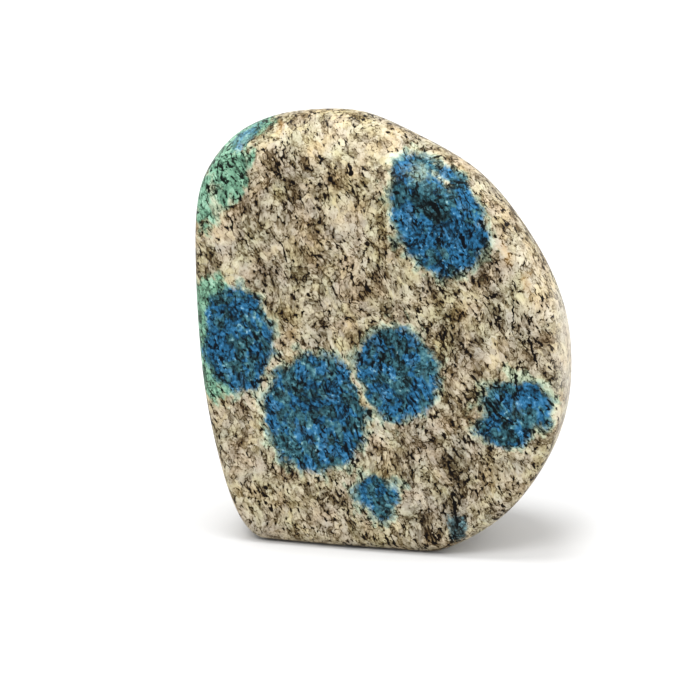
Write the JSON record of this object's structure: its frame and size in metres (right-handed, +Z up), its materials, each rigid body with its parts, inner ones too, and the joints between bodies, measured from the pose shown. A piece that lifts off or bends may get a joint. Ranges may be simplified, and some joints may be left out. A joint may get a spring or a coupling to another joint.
{
  "type": "polished stone",
  "caption": "Polished freeform of granite with round blue azurite spots, standing upright on its flat sawn base.",
  "frame": {"origin": "middle of the bounding box, on the sawn base that the stone stands on", "axes": "+Z up, along the stone's height; the broad, nearly flat front face looks along -Y; +X to the right seen from the front"},
  "size_m": [0.0524, 0.0274, 0.0598],
  "materials": {
    "azurite_granite": "hand-polished fine-grained biotite granite with round blue azurite stains and green malachite rims"
  },
  "bodies": {
    "root": {"azurite_granite_stone": "azurite_granite"}
  },
  "joints": []
}
